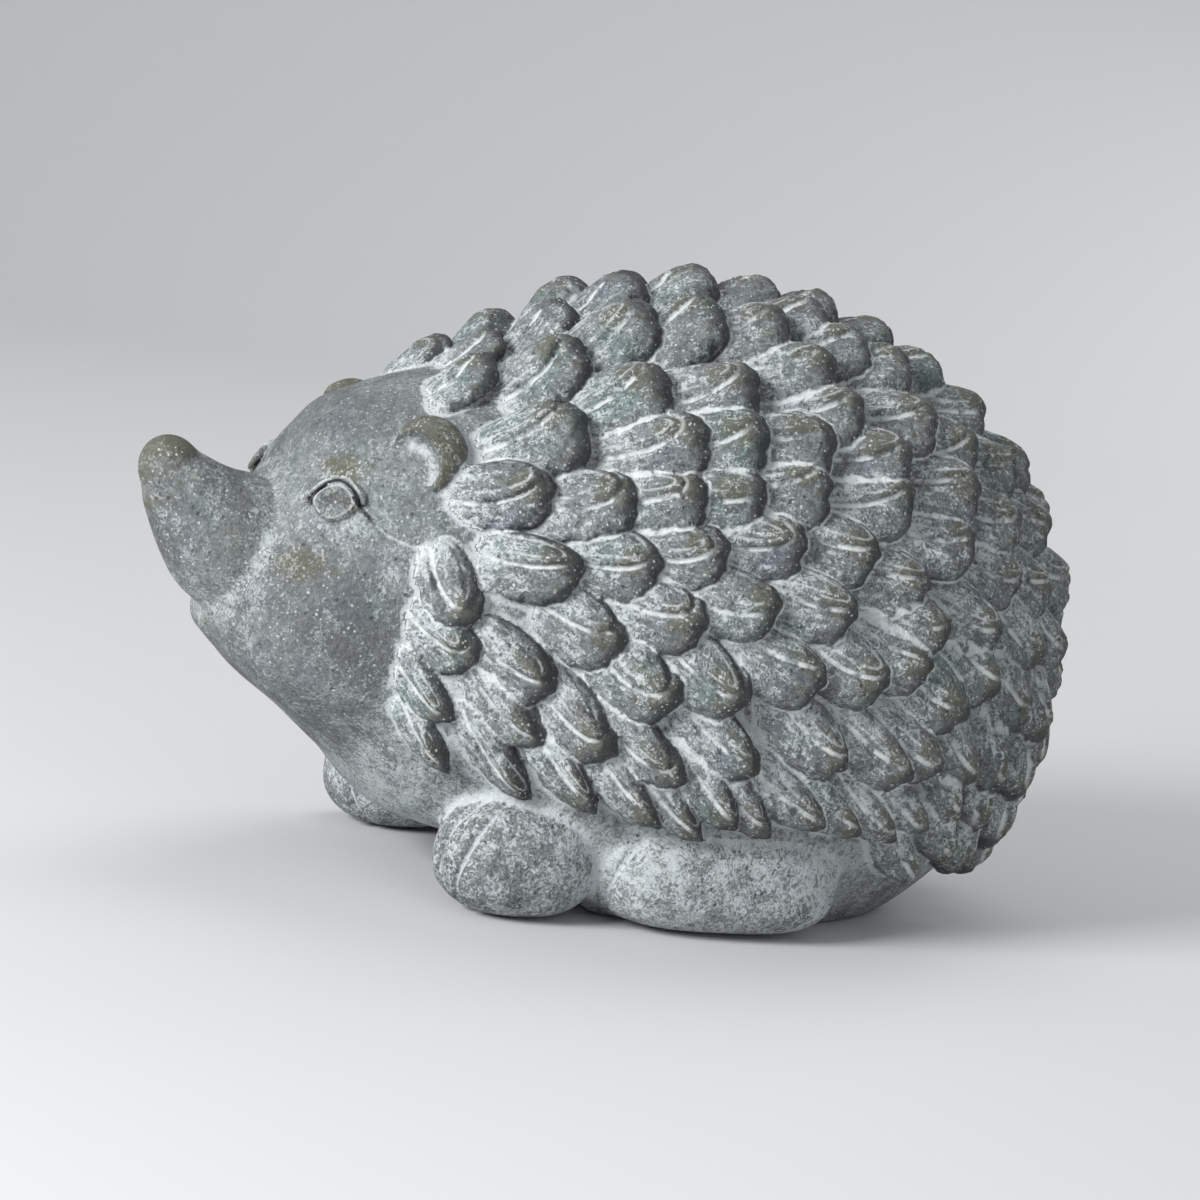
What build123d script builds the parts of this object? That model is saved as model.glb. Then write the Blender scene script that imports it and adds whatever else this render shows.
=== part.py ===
from build123d import *
import math
import os

# Hedgehog garden figurine of cast stone, standing on its own flat underside.
# Millimetres, +Z up. The nose points along -Y, the animal's left flank is +X, and the origin is the
# middle of the closing plug's lower face, which is flush with the ground.

# Driving dimensions of the round body
body_front = 92.0
body_rear = 104.0
body_half_width = 68.0
body_rise = 91.0
body_drop = 81.0
body_centre_reach = 10.0
body_centre_height = 60.0
body_squareness = 2.03
coat_lift = 10.0
shell_wall = 12.0

# Driving dimensions of the head, which grows out of the body as a wide cone
head_reach = 137.5
head_back = 54.0
head_half_width = 57.0
head_lift = 10.0
head_rise = 70.0
head_drop = 70.0

# Driving dimensions of the snout and the nose ball
snout_root_depth = 13.5
snout_root_rise = 7.0
snout_overhang = 11.5
snout_climb = 18.0
snout_half_height = 19.0
nose_radius = 7.3

# Driving dimensions of the eyes and ears
eye_half_length = 6.4
eye_half_height = 5.0
lid_thickness = 1.5
ear_half_width = 8.5
ear_half_height = 9.5
ear_thickness = 4.4

# Driving dimensions of the feet
front_foot_half_width = 16.0
front_foot_half_length = 20.0
front_foot_height = 30.0
front_foot_outset = 4.0
front_foot_reach = 61.0
hind_foot_half_width = 22.0
hind_foot_half_length = 33.0
hind_foot_height = 28.0
hind_foot_inset = 10.0
hind_foot_reach = 8.0
toe_half_width = 5.6
ankle_height = 10.0

# Driving dimensions of the closing plug under the body
plug_radius = 30.0
plug_lip = 4.0
plug_lip_thickness = 5.0

# Driving dimensions of one full quill of the coat
quill_length = 28.0
quill_width = 20.0
quill_height = 12.0

# How far every cutting solid runs past what it cuts
overrun = 2.0

os.makedirs("parts", exist_ok=True)

body_centre = Vector(0, -body_centre_reach, body_centre_height)
coat_centre = Vector(0, 0, body_centre_height + coat_lift)
head_centre_height = body_centre_height + head_lift
ball_power = 2
trim_sides = 12
trim_bands = 6

# A facet with four corners counts as flat when its twist is under this share of its size
flat_share = 1e-6


def largest(shape):
    """The biggest solid that a cut leaves behind."""
    return max(shape.solids(), key=lambda solid: solid.volume)


def mirrored(shape):
    """The same piece on the animal's right side."""
    return shape.mirror(Plane.YZ)


def save(shape, name):
    """Write one named piece of the figurine."""
    shape.label = name
    export_step(shape, f"parts/{name}.step")


def rounded_outline(half_width, rise, drop, power, sides, scale):
    """Corner points of a rounded section, seen along the form's own length."""
    corners = []
    for corner in range(sides):
        turn = math.tau * (corner + 0.5) / sides
        across = math.copysign(abs(math.sin(turn)) ** (2 / power), math.sin(turn))
        upward = math.copysign(abs(math.cos(turn)) ** (2 / power), math.cos(turn))
        height = rise if upward > 0 else drop
        corners.append((half_width * across * scale, height * upward * scale))
    return corners


def facet(*corners):
    """One flat face between its corner points."""
    return Face(Wire.make_polygon(corners, close=True))


def faceted_loft(rings):
    """A solid through closed rings of corner points, with flat facets alike on both sides."""
    facets = [facet(*rings[0]), facet(*rings[-1])]
    for ring, next_ring in zip(rings[:-1], rings[1:]):
        for corner in range(len(ring)):
            after = (corner + 1) % len(ring)
            a, b, c, d = ring[corner], ring[after], next_ring[after], next_ring[corner]
            twist = abs((b - a).cross(d - a).dot(c - a))
            if twist < flat_share * (c - a).length ** 3:
                facets.append(facet(a, b, c, d))
            elif corner < len(ring) / 2:
                facets.append(facet(a, b, c))
                facets.append(facet(a, c, d))
            else:
                facets.append(facet(a, b, d))
                facets.append(facet(b, c, d))
    return Solid(Shell(facets))


def rounded_form(half_width, rise, drop, front, rear, power, sides, bands):
    """An egg-like solid: one rounded section, scaled down towards the front and the rear."""
    rings = []
    for station in range(1, bands):
        turn = math.pi * station / bands
        share = -math.copysign(abs(math.cos(turn)) ** (2 / power), math.cos(turn))
        scale = (1 - abs(share) ** power) ** (1 / power)
        along = front * share if share < 0 else rear * share
        outline = rounded_outline(half_width, rise, drop, power, sides, scale)
        rings.append([Vector(across, along, height) for across, height in outline])
    return faceted_loft(rings)


# Hollow cast body: a squarish egg of even wall, cut flat where it stands, with a stepped hole for
# the plug. The quills and the limbs are luted onto it.
body_sides = 16
body_bands = 10
cavity_sides = 12
cavity_bands = 6
slab_side = 2 * (body_front + body_rear + overrun)


def below(height):
    """A block that takes away everything under one level."""
    return Pos(0, 0, height - slab_side / 2) * Box(slab_side, slab_side, slab_side)


outer_form = rounded_form(
    body_half_width, body_rise, body_drop, body_front, body_rear, body_squareness, body_sides, body_bands
)
cavity_form = rounded_form(
    body_half_width - shell_wall,
    body_rise - shell_wall,
    body_drop - shell_wall,
    body_front - shell_wall,
    body_rear - shell_wall,
    body_squareness,
    cavity_sides,
    cavity_bands,
)
plug_sides = 24
plug_spigot_radius = plug_radius - plug_lip
standing_body = Pos(body_centre) * outer_form - below(0)
cavity = Pos(body_centre) * cavity_form - below(shell_wall)


def plug_disc(radius, low, high):
    """A many-sided disc of the plug between two levels."""
    disc = extrude(RegularPolygon(radius, plug_sides), amount=high - low)
    return Pos(0, 0, low) * disc


plug_lip_disc = plug_disc(plug_radius, 0, plug_lip_thickness)
plug_spigot = plug_disc(plug_spigot_radius, plug_lip_thickness, shell_wall)
base_plug = plug_lip_disc + plug_spigot
hole_below = plug_disc(plug_radius, -overrun, plug_lip_thickness)
hole_above = plug_disc(plug_spigot_radius, 0, shell_wall + overrun)
core_shell = largest(standing_body - cavity - hole_below - hole_above)

# Head: brow, cheeks, chin and chest in one cone of rounded sections. Each row of the table gives
# where a section stands between the back (0) and the front (1) of the head, its half width, and
# how far it reaches above and below the head's centre, all as shares of the head's sizes.
head_sides = 18
head_power = 2.1
head_section_shares = [
    (0.00, 1.00, 1.00, 1.00),
    (0.15, 0.97, 0.92, 0.97),
    (0.37, 0.88, 0.83, 0.83),
    (0.53, 0.77, 0.765, 0.61),
    (0.67, 0.67, 0.69, 0.48),
    (0.76, 0.60, 0.56, 0.39),
    (0.84, 0.51, 0.37, 0.32),
    (0.93, 0.36, 0.12, 0.25),
    (1.00, 0.13, -0.06, 0.17),
]


def head_section(along_share, width_share, top_share, bottom_share):
    """Where one section of the head stands, with its half width, top and bottom."""
    along = -head_back - (head_reach - head_back) * along_share
    top = head_centre_height + head_rise * top_share
    bottom = head_centre_height - head_drop * bottom_share
    return along, head_half_width * width_share, top, bottom


head_sections = [head_section(*row) for row in head_section_shares]
head_rings = []
for along, half_width, top, bottom in head_sections:
    half_height = (top - bottom) / 2
    outline = rounded_outline(half_width, half_height, half_height, head_power, head_sides, 1)
    head_rings.append([Vector(across, along, bottom + half_height + height) for across, height in outline])
head_form = faceted_loft(head_rings)

# Snout: a tapering cone that leaves the face level and turns up to the nose. Each row gives the
# way along the snout, the half height, the half width and the upward tilt of a section.
snout_sides = 14
snout_curve_share = 0.30
snout_section_shares = [
    (0.00, 1.00, 1.00),
    (0.30, 0.95, 0.90),
    (0.58, 0.76, 0.74),
    (0.84, 0.58, 0.56),
    (1.00, 0.42, 0.42),
]
snout_root_angle = 8.0
snout_end_angle = 55.0
snout_run = snout_root_depth + snout_overhang
snout_root_reach = head_reach - snout_root_depth
snout_root_height = head_centre_height + snout_root_rise


def snout_place(along_share):
    """The middle of the snout at one share of its length, and its axis there."""
    bow = along_share * (1 - snout_curve_share * (1 - along_share) * 2)
    middle = Vector(0, -snout_root_reach - snout_run * along_share, snout_root_height + snout_climb * bow)
    tilt = math.radians(snout_root_angle + (snout_end_angle - snout_root_angle) * along_share)
    return Plane(origin=middle, x_dir=(1, 0, 0), z_dir=(0, -math.cos(tilt), math.sin(tilt)))


snout_rings = []
for along_share, height_share, width_share in snout_section_shares:
    half_height = snout_half_height * height_share
    half_width = snout_half_height * width_share
    outline = rounded_outline(half_width, half_height, half_height, ball_power, snout_sides, 1)
    section_plane = snout_place(along_share)
    snout_rings.append([section_plane.from_local_coords(Vector(*corner)) for corner in outline])
snout_form = faceted_loft(snout_rings)

head = largest(head_form - (Pos(body_centre) * outer_form) - below(0))
snout = largest(snout_form - head)

# Nose: a smooth ball on the tip of the snout
nose_ball = rounded_form(
    nose_radius, nose_radius, nose_radius, nose_radius, nose_radius, ball_power, trim_sides, trim_bands
)
nose_seat = snout_place(1).origin
nose_sink_share = 0.25
nose_rise_direction = snout_place(1).z_dir
nose_centre = nose_seat + nose_rise_direction * (nose_radius * nose_sink_share)
nose_tip = largest(Pos(nose_centre) * nose_ball - snout)

# Skin of the whole animal as a formula, used to seat the eyes, the ears and every quill: the way
# out from the coat's centre, along a direction, until both the body and the head are left behind.


search_steps = 26
probe_angle = 4.0


def inside_body(point):
    """True inside the squarish egg of the body."""
    offset = point - body_centre
    length = body_front if offset.Y < 0 else body_rear
    height = body_rise if offset.Z > 0 else body_drop
    spread = abs(offset.X / body_half_width) ** body_squareness
    spread += abs(offset.Y / length) ** body_squareness
    spread += abs(offset.Z / height) ** body_squareness
    return spread < 1


def inside_head(point):
    """True inside the cone of the head, between two of its sections."""
    for nearer, farther in zip(head_sections[:-1], head_sections[1:]):
        if farther[0] <= point.Y <= nearer[0]:
            share = (point.Y - nearer[0]) / (farther[0] - nearer[0])
            half_width, top, bottom = [a + (b - a) * share for a, b in zip(nearer[1:], farther[1:])]
            half_height = (top - bottom) / 2
            across = abs(point.X / half_width) ** head_power
            upward = abs((point.Z - bottom - half_height) / half_height) ** head_power
            return across + upward < 1
    return False


def skin_point(front_angle, crown_angle):
    """The skin's point at an angle from the front pole and an angle down from the crown."""
    away = math.radians(front_angle)
    down = math.radians(crown_angle)
    direction = Vector(math.sin(away) * math.sin(down), -math.cos(away), math.sin(away) * math.cos(down))
    near = 0
    far = body_front + body_rear
    for _ in range(search_steps):
        middle = (near + far) / 2
        trial = coat_centre + direction * middle
        if inside_body(trial) or inside_head(trial):
            near = middle
        else:
            far = middle
    return coat_centre + direction * near


def skin_frame(front_angle, crown_angle):
    """A point of the skin, the way backwards along it and the way straight out of it."""
    point = skin_point(front_angle, crown_angle)
    behind = skin_point(front_angle + probe_angle, crown_angle)
    before = skin_point(front_angle - probe_angle, crown_angle)
    lower = skin_point(front_angle, crown_angle + probe_angle)
    higher = skin_point(front_angle, crown_angle - probe_angle)
    backward = behind - before
    outward = backward.cross(lower - higher).normalized()
    if outward.dot(point - coat_centre) < 0:
        outward = outward * -1
    return point, backward.normalized(), outward


def face_seat(reach, height, tilt_back):
    """A plane on the left side of the head at one reach forward and one height above the ground."""
    for nearer, farther in zip(head_sections[:-1], head_sections[1:]):
        if farther[0] <= -reach <= nearer[0]:
            share = (-reach - nearer[0]) / (farther[0] - nearer[0])
            half_width, top, bottom = [a + (b - a) * share for a, b in zip(nearer[1:], farther[1:])]
            half_height = (top - bottom) / 2
            upward = (height - bottom - half_height) / half_height
            across = half_width * (1 - abs(upward) ** head_power) ** (1 / head_power)
            widening = (nearer[1] - farther[1]) / (nearer[0] - farther[0])
            outward = Vector(1, -widening, upward * half_width / half_height).normalized()
            return Plane(origin=Vector(across, -reach, height), x_dir=(0, -1, tilt_back), z_dir=outward)
    return Plane.YZ


# Eyes: an almond ball in each cheek under a rolled lid
eye_reach = 116.0
eye_height = 96.0
eye_slope_share = -0.15
eye_depth_share = 0.7
eye_seat = face_seat(eye_reach, eye_height, eye_slope_share)
eye_depth = eye_half_height * eye_depth_share
eye_ball = rounded_form(
    eye_half_length, eye_half_height, eye_half_height,
    eye_depth, eye_depth, ball_power, trim_sides, trim_bands,
)
eye_turn = Rot(90, 0, 0)
eye_left = largest(eye_seat.location * eye_turn * eye_ball - head)
lid_half_length = eye_half_length + lid_thickness
lid_half_height = eye_half_height + lid_thickness
lid_depth = lid_half_height * eye_depth_share
lid_form = rounded_form(
    lid_half_length, lid_half_height, lid_half_height,
    lid_depth, lid_depth, ball_power, trim_sides, trim_bands,
)
lid_drop_share = 0.15
lid_cut = Pos(0, -lid_half_height * (1 + lid_drop_share), 0) * Box(
    4 * lid_half_length, 2 * lid_half_height, 4 * lid_half_height
)
lid_band = eye_turn * lid_form - lid_cut - eye_turn * eye_ball
lid_left = largest(eye_seat.location * lid_band - head)

# Ears: small round cups that lean back against the first quills
ear_reach = 96.0
ear_height = 110.0
ear_lean_angle = 55.0
ear_slope_share = 0.55
ear_seat = face_seat(ear_reach, ear_height, ear_slope_share)
ear_cup = rounded_form(
    ear_half_width, ear_half_height, ear_half_height,
    ear_thickness, ear_thickness, ball_power, trim_sides, trim_bands,
)
ear_hollow_share = 0.62
hollow_width = ear_half_width * ear_hollow_share
hollow_height = ear_half_height * ear_hollow_share
ear_hollow = Pos(0, -ear_thickness, 0) * rounded_form(
    hollow_width, hollow_height, hollow_height,
    ear_thickness, ear_thickness, ball_power, trim_sides, trim_bands,
)
ear_place = ear_seat.location * Rot(0, 0, -90) * Rot(ear_lean_angle, 0, 0)
ear_left = largest(ear_place * (ear_cup - ear_hollow) - head)

# Feet: low pads, flat underneath, with toes along the front edge. They stand where the body's side
# is at the height of the ankle, the front ones a little outside it and the hind ones under it.
foot_sides = 12
foot_bands = 6
foot_power = 2.3
foot_top_share = 0.55
toe_sides = 8
toe_bands = 4
toe_count = 4
toe_length_share = 1.05
toe_height_share = 1.2


def body_side(reach, height):
    """Half the body's width at one reach forward and one height above the ground."""
    along = body_centre_reach - reach
    length = body_front if along < 0 else body_rear
    room = 1 - abs(along / length) ** body_squareness
    room -= abs((body_centre_height - height) / body_drop) ** body_squareness
    return body_half_width * max(room, 0) ** (1 / body_squareness)


def foot(half_width, half_length, height, spread, reach):
    """One left foot with its toes, not yet fitted to the body."""
    rise = height * foot_top_share
    drop = height - rise
    pad = rounded_form(half_width, rise, drop, half_length, half_length, foot_power, foot_sides, foot_bands)
    form = Pos(0, 0, drop) * pad
    toe_pitch = 2 * (half_width - toe_half_width) / (toe_count - 1)
    toe_half_length = toe_half_width * toe_length_share
    toe_rise = toe_half_width * toe_height_share
    for toe in range(toe_count):
        offset = -half_width + toe_half_width + toe_pitch * toe
        setback = half_length * (1 - math.sqrt(1 - (offset / half_width) ** 2))
        bump = rounded_form(
            toe_half_width, toe_rise, toe_half_width,
            toe_half_length, toe_half_length, ball_power, toe_sides, toe_bands,
        )
        toe_front = half_length - setback - toe_half_width
        form = form + Pos(offset, -toe_front, toe_half_width) * bump
    return Pos(spread, -reach, 0) * form - below(0)


front_foot_spread = body_side(front_foot_reach, ankle_height) + front_foot_outset
hind_foot_spread = body_side(hind_foot_reach, ankle_height) - hind_foot_inset
front_foot_form = foot(
    front_foot_half_width, front_foot_half_length, front_foot_height, front_foot_spread, front_foot_reach
)
hind_foot_form = foot(
    hind_foot_half_width, hind_foot_half_length, hind_foot_height, hind_foot_spread, hind_foot_reach
)
body_solid = Pos(body_centre) * outer_form
front_foot_left = largest(front_foot_form - body_solid - head)
hind_foot_left = largest(hind_foot_form - body_solid - head - front_foot_left)

# Quill coat: overlapping leaf-shaped quills in bands from the hairline to the rump. Each pair is
# an angle from the front pole and an angle down from the crown, both in degrees. A crown angle of
# zero is one quill on the midline; the others are mirrored to the right side. A third value turns
# that quill further downhill than its neighbours.
quill_bands = [
    [(28, 75, 45), (26, 107), (28, 121), (27, 91)],
    [(38, 0), (34, 16), (39, 40), (34, 52), (36, 70), (35, 94), (36, 106), (37, 119)],
    [(48, 0), (43, 21), (44, 55), (47, 68), (43, 83), (45, 104), (46, 116)],
    [(59, 0), (55, 16), (52, 32), (55, 44), (55, 55), (58, 66), (55, 78), (53, 93), (57, 107), (56, 116)],
    [(71, 0), (66, 18), (67, 33), (66, 43), (65, 54), (68, 75), (65, 90), (70, 103), (64, 117), (70, 112)],
    [(83, 0), (77, 18), (79, 43), (78, 53), (73, 63), (79, 87), (77, 114)],
    [(95, 0), (83, 27), (87, 12), (87, 36), (89, 62), (85, 74), (89, 101), (86, 113)],
    [(94, 19), (96, 44), (98, 53), (95, 86), (95, 115)],
    [(107, 0), (102, 21), (105, 33), (103, 67), (106, 83), (104, 103), (106, 117), (109, 75)],
    [(119, 0), (113, 13), (116, 35), (115, 45), (115, 57), (118, 90), (113, 102), (114, 116), (117, 128)],
    [(122, 20), (129, 47), (131, 60), (126, 73), (128, 83), (126, 103), (125, 113), (126, 123)],
    [(131, 0), (128, 33), (135, 24), (143, 58), (142, 73), (141, 90), (138, 105), (137, 117), (136, 130)],
    [(143, 0), (141, 38), (149, 20), (155, 45), (154, 70), (153, 95), (150, 113), (148, 131)],
    [(156, 0), (166, 30), (167, 80), (164, 122), (159, 146), (148, 148)],
]
crown_tilt_angle = 23.0
flank_tilt_angle = 11.0
fringe_tilt_angle = 7.0
flank_droop_angle = 40.0
rump_droop_angle = 56.0

# Angles between which the coat changes: the crown's upright quills into the flank's flat ones, the
# flank's into the narrow ones over the feet, the straight ones into the drooping ones, and the
# small ones at the hairline into the full ones behind it.
flank_angles = (15, 70)
fringe_angles = (92, 118)
droop_angles = (40, 115)
rump_front_angles = (105, 150)
rump_crown_angles = (40, 100)
crown_hairline_angles = (36, 66)
side_hairline_angles = (26, 42)
flank_size_angles = (40, 65)
crown_width_angle = 40
crown_turn_share = 0.8
crown_hairline_size_share = 0.55
side_hairline_size_share = 0.80
flank_size_share = 0.86
fringe_width_share = 0.62
quill_way_shares = [0, 0.50, 1]
quill_scale_shares = [0.64, 1, 0.46]
quill_outline_shares = [(-0.50, -0.42), (-0.42, 0.20), (-0.02, 0.46), (0.40, 0.26), (0.50, -0.42)]


def eased(value, low, high):
    """A soft step from 0 below the low mark to 1 above the high mark."""
    share = min(1, max(0, (value - low) / (high - low)))
    return share * share * (3 - 2 * share)


def mixed(start, end, share):
    """The value at one share of the way from a start to an end."""
    return start + (end - start) * share


def quill(front_angle, crown_angle, turn=0):
    """One whole quill, lying on the skin and not yet fitted to its neighbours."""
    point, backward, outward = skin_frame(front_angle, crown_angle)
    on_rump = eased(front_angle, *rump_front_angles) * eased(crown_angle, *rump_crown_angles)
    droop = math.radians(flank_droop_angle * eased(crown_angle, *droop_angles) + rump_droop_angle * on_rump + turn)
    heading = backward
    if crown_angle > 0:
        downward = Vector(0, 0, -1)
        downward = downward - outward * downward.dot(outward)
        heading = backward * math.cos(droop) + downward.normalized() * math.sin(droop)
    on_fringe = eased(crown_angle, *fringe_angles)
    tilt = mixed(crown_tilt_angle, flank_tilt_angle, eased(crown_angle, *flank_angles))
    rise = math.radians(mixed(tilt, fringe_tilt_angle, on_fringe))
    axis = (heading.normalized() * math.cos(rise) + outward * math.sin(rise)).normalized()
    crown_place = front_angle + crown_turn_share * min(crown_angle, crown_width_angle)
    size_share = mixed(crown_hairline_size_share, 1, eased(crown_place, *crown_hairline_angles))
    size_share *= mixed(side_hairline_size_share, 1, eased(front_angle, *side_hairline_angles))
    size_share *= mixed(1, flank_size_share, eased(crown_angle, *flank_size_angles))
    length = quill_length * size_share
    width = quill_width * size_share * mixed(1, fringe_width_share, on_fringe)
    height = quill_height * size_share
    root = point - axis * (length / 2)
    across = axis.cross(outward).normalized()
    rings = []
    for way_share, scale_share in zip(quill_way_shares, quill_scale_shares):
        ring_plane = Plane(origin=root + axis * (length * way_share), x_dir=across, z_dir=axis * -1)
        ring = []
        for across_share, upward_share in quill_outline_shares:
            corner = Vector(width * scale_share * across_share, height * scale_share * upward_share)
            ring.append(ring_plane.from_local_coords(corner))
        rings.append(ring)
    whole = faceted_loft(rings)
    if crown_angle == 0:
        left_side = largest(whole - right_half)
        whole = largest(left_side + mirrored(left_side))
    return point, whole


right_half = Pos(-slab_side / 2, 0, body_centre_height) * Box(slab_side, slab_side, slab_side)
neighbour_reach = quill_length + quill_width / 2
carriers = [body_solid, head, ear_left, front_foot_left, hind_foot_left]


def boxes_meet(one, other):
    """True when the boxes round two solids overlap."""
    first = one.bounding_box()
    second = other.bounding_box()
    apart = max(
        first.min.X - second.max.X, second.min.X - first.max.X,
        first.min.Y - second.max.Y, second.min.Y - first.max.Y,
        first.min.Z - second.max.Z, second.min.Z - first.max.Z,
    )
    return apart < 0


placed = []
quill_rows = []
for band in quill_bands:
    row = []
    for place in sorted(band):
        centre, fitted = quill(*place)
        crown_angle = place[1]
        cutters = [piece for piece in carriers if boxes_meet(piece, fitted)]
        if crown_angle > 0:
            cutters.append(right_half)
        for other_centre, other in placed:
            if (other_centre - centre).length < neighbour_reach:
                cutters.append(other)
        for cutter in cutters:
            fitted = largest(fitted - cutter)
        placed.append((centre, fitted))
        row.append(fitted)
        if crown_angle > 0:
            twin = mirrored(fitted)
            placed.append((Vector(-centre.X, centre.Y, centre.Z), twin))
            row.append(twin)
    quill_rows.append(row)

save(core_shell, "core_shell")
save(base_plug, "base_plug")
save(head, "head")
save(snout, "snout")
save(nose_tip, "nose_tip")
for name, left_piece in [
    ("eye", eye_left),
    ("eyelid", lid_left),
    ("ear", ear_left),
    ("front_foot", front_foot_left),
    ("hind_foot", hind_foot_left),
]:
    save(left_piece, f"{name}_left")
    save(mirrored(left_piece), f"{name}_right")
for number, row in enumerate(quill_rows, start=1):
    save(Compound(children=row), f"quill_row_{number:02d}")
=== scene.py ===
import math
import bpy
import numpy as np
from mathutils import Matrix, Vector


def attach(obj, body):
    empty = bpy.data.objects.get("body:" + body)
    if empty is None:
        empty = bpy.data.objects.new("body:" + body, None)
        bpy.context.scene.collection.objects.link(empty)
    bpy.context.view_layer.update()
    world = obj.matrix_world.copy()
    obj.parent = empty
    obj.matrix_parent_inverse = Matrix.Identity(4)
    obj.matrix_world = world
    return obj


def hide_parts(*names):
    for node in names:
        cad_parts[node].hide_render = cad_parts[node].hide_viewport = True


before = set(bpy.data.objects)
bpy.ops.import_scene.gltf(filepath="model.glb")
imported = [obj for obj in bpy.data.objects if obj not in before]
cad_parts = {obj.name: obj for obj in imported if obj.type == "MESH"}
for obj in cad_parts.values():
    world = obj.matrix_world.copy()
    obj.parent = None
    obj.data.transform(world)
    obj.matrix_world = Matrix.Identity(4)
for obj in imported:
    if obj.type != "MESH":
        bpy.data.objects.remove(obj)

# Camera: a long portrait lens a metre away, a little above the animal and rolled nine degrees, so
# that the hedgehog is seen from its left side and slightly from the front.
sight_target = Vector((0, -0.030, 0.073))
sight_turn, sight_height, sight_roll = (math.radians(angle) for angle in (66, 9, 9))
sight_distance = 1.0
sight_back = Vector((
    math.sin(sight_turn) * math.cos(sight_height),
    -math.cos(sight_turn) * math.cos(sight_height),
    math.sin(sight_height),
))
level = Vector((math.cos(sight_turn), math.sin(sight_turn), 0))
upright = sight_back.cross(level)
sight_right = level * math.cos(sight_roll) + upright * math.sin(sight_roll)
sight_up = upright * math.cos(sight_roll) - level * math.sin(sight_roll)
lens = bpy.data.cameras.new("portrait_lens")
lens.sensor_width, lens.lens = 36, 115.8
camera = bpy.data.objects.new("camera", lens)
sight_turned = Matrix((sight_right, sight_up, sight_back)).transposed().to_4x4()
camera.matrix_world = Matrix.Translation(sight_target + sight_back * sight_distance) @ sight_turned
bpy.context.scene.collection.objects.link(camera)
bpy.context.scene.camera = camera
bpy.context.scene.view_settings.view_transform = "Standard"

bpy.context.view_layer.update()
chance = np.random.default_rng(7)

# Body: a squarish egg of cast stone with an even wall, cut flat where it stands. Everything else is
# luted onto it, so every form here is a distance in millimetres to that form's skin, worked out on
# the left half, and the forms grow together where they meet.
body_front, body_rear, body_half_width = 92.0, 104.0, 68.0
body_rise, body_drop = 91.0, 81.0
body_centre_reach, body_centre_height = 10.0, 60.0
body_squareness = 2.03
forms = []


def add_form(node, centre, reach, fillet, distance, marks=None):
    """One form of the casting: its node, the ball round it, its fillet and its distance."""
    forms.append({
        "node": node,
        "centre": np.array(centre, np.float32),
        "reach": reach,
        "fillet": fillet,
        "distance": distance,
        "marks": marks,
    })


def soft_union(one, other, fillet):
    """Two forms grown together with a fillet between them."""
    near = np.maximum(fillet - np.abs(one - other), 0) / fillet
    return np.minimum(one, other) - near * near * fillet / 4


chest_clearance, chest_back, chest_front, chest_softness = 14.0, 34.0, 60.0, 12.0


def lifted_chest(distance, points):
    """A form with its underside raised off the ground between the front feet."""
    share = np.clip((-points[:, 1] - chest_back) / (chest_front - chest_back), 0, 1)
    share = share * share * (3 - 2 * share)
    below = chest_clearance * share - points[:, 2]
    return -soft_union(-distance, -below, 0.01 + chest_softness * share)


def body_distance(points):
    """How far points are from the skin of the round body."""
    x, y, z = points[:, 0], points[:, 1] + body_centre_reach, points[:, 2] - body_centre_height
    length = np.where(y < 0, body_front, body_rear)
    height = np.where(z > 0, body_rise, body_drop)
    spread = np.abs(x / body_half_width) ** body_squareness
    spread += np.abs(y / length) ** body_squareness
    spread += np.abs(z / height) ** body_squareness
    spread = np.maximum(spread, 1e-6) ** (1 / body_squareness)
    return lifted_chest(np.sqrt(x * x + y * y + z * z) * (1 - 1 / spread), points)


add_form("core_shell", (0, -body_centre_reach, body_centre_height), reach=125, fillet=2.0,
         distance=body_distance)

# Head: brow, cheeks, chin and chest in one cone of rounded sections, with a fuller cheek and brow
# pressed up from it. Rows give the way forward, half width, top and bottom as shares.
head_reach, head_back, head_half_width, head_overlap = 137.5, 54.0, 57.0, 12.0
head_rise = head_drop = head_centre_height = 70.0
head_power = 2.1
head_estimate_share = 0.85
head_section_shares = np.array([
    (0.00, 1.00, 1.00, 1.00),
    (0.15, 0.97, 0.92, 0.97),
    (0.37, 0.88, 0.83, 0.83),
    (0.53, 0.77, 0.765, 0.61),
    (0.67, 0.67, 0.69, 0.48),
    (0.76, 0.58, 0.56, 0.39),
    (0.84, 0.485, 0.37, 0.32),
    (0.93, 0.34, 0.12, 0.25),
    (1.00, 0.13, -0.06, 0.17),
])
head_steps = np.linspace(0, 1, 121)
head_softening = np.exp(-(np.linspace(-2, 2, 9) ** 2))
head_softening /= head_softening.sum()


def softened(column):
    """One column of the head's table with its corners rounded off."""
    values = np.interp(head_steps, head_section_shares[:, 0], head_section_shares[:, column])
    padded = np.concatenate([np.full(4, values[0]), values, 2 * values[-1] - values[-2:-6:-1]])
    return np.convolve(padded, head_softening, "valid")


head_widths = head_half_width * softened(1)
head_tops = head_centre_height + head_rise * softened(2)
head_bottoms = head_centre_height - head_drop * softened(3)


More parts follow.
